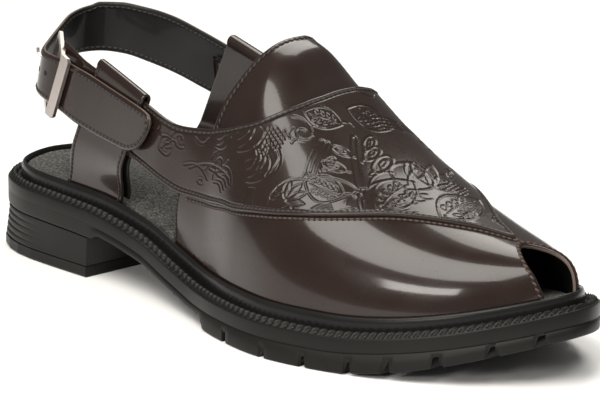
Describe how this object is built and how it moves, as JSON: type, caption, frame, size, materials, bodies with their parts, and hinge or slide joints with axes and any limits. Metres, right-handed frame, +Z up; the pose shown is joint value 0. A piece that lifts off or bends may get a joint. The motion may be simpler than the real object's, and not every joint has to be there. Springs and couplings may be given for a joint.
{
  "type": "strap sandal",
  "caption": "Right leather strap sandal with an embossed vamp, buckled heel strap and a lugged rubber sole with a block heel",
  "frame": {"origin": "centre of the sole's plan on the ground plane", "axes": "+X to the toe, +Y to the medial side, +Z up"},
  "size_m": [0.2936, 0.1078, 0.103],
  "materials": {
    "sole_rubber": "matte moulded rubber",
    "edge_rubber": "satin moulded rubber",
    "footbed": "heathered textile",
    "upper_leather": "polished leather",
    "nickel": "satin nickel plate"
  },
  "bodies": {
    "root": {"outsole": "sole_rubber", "heel_block": "sole_rubber", "top_lift": "sole_rubber", "welt": "sole_rubber", "rand": "edge_rubber", "insole": "footbed", "upper": "upper_leather", "vamp_overlay": "upper_leather", "tongue": "upper_leather", "side_strap_lateral": "upper_leather", "side_strap_medial": "upper_leather", "heel_strap": "upper_leather", "buckle_tab": "upper_leather", "buckle_frame": "nickel", "buckle_prong": "nickel"}
  },
  "joints": []
}
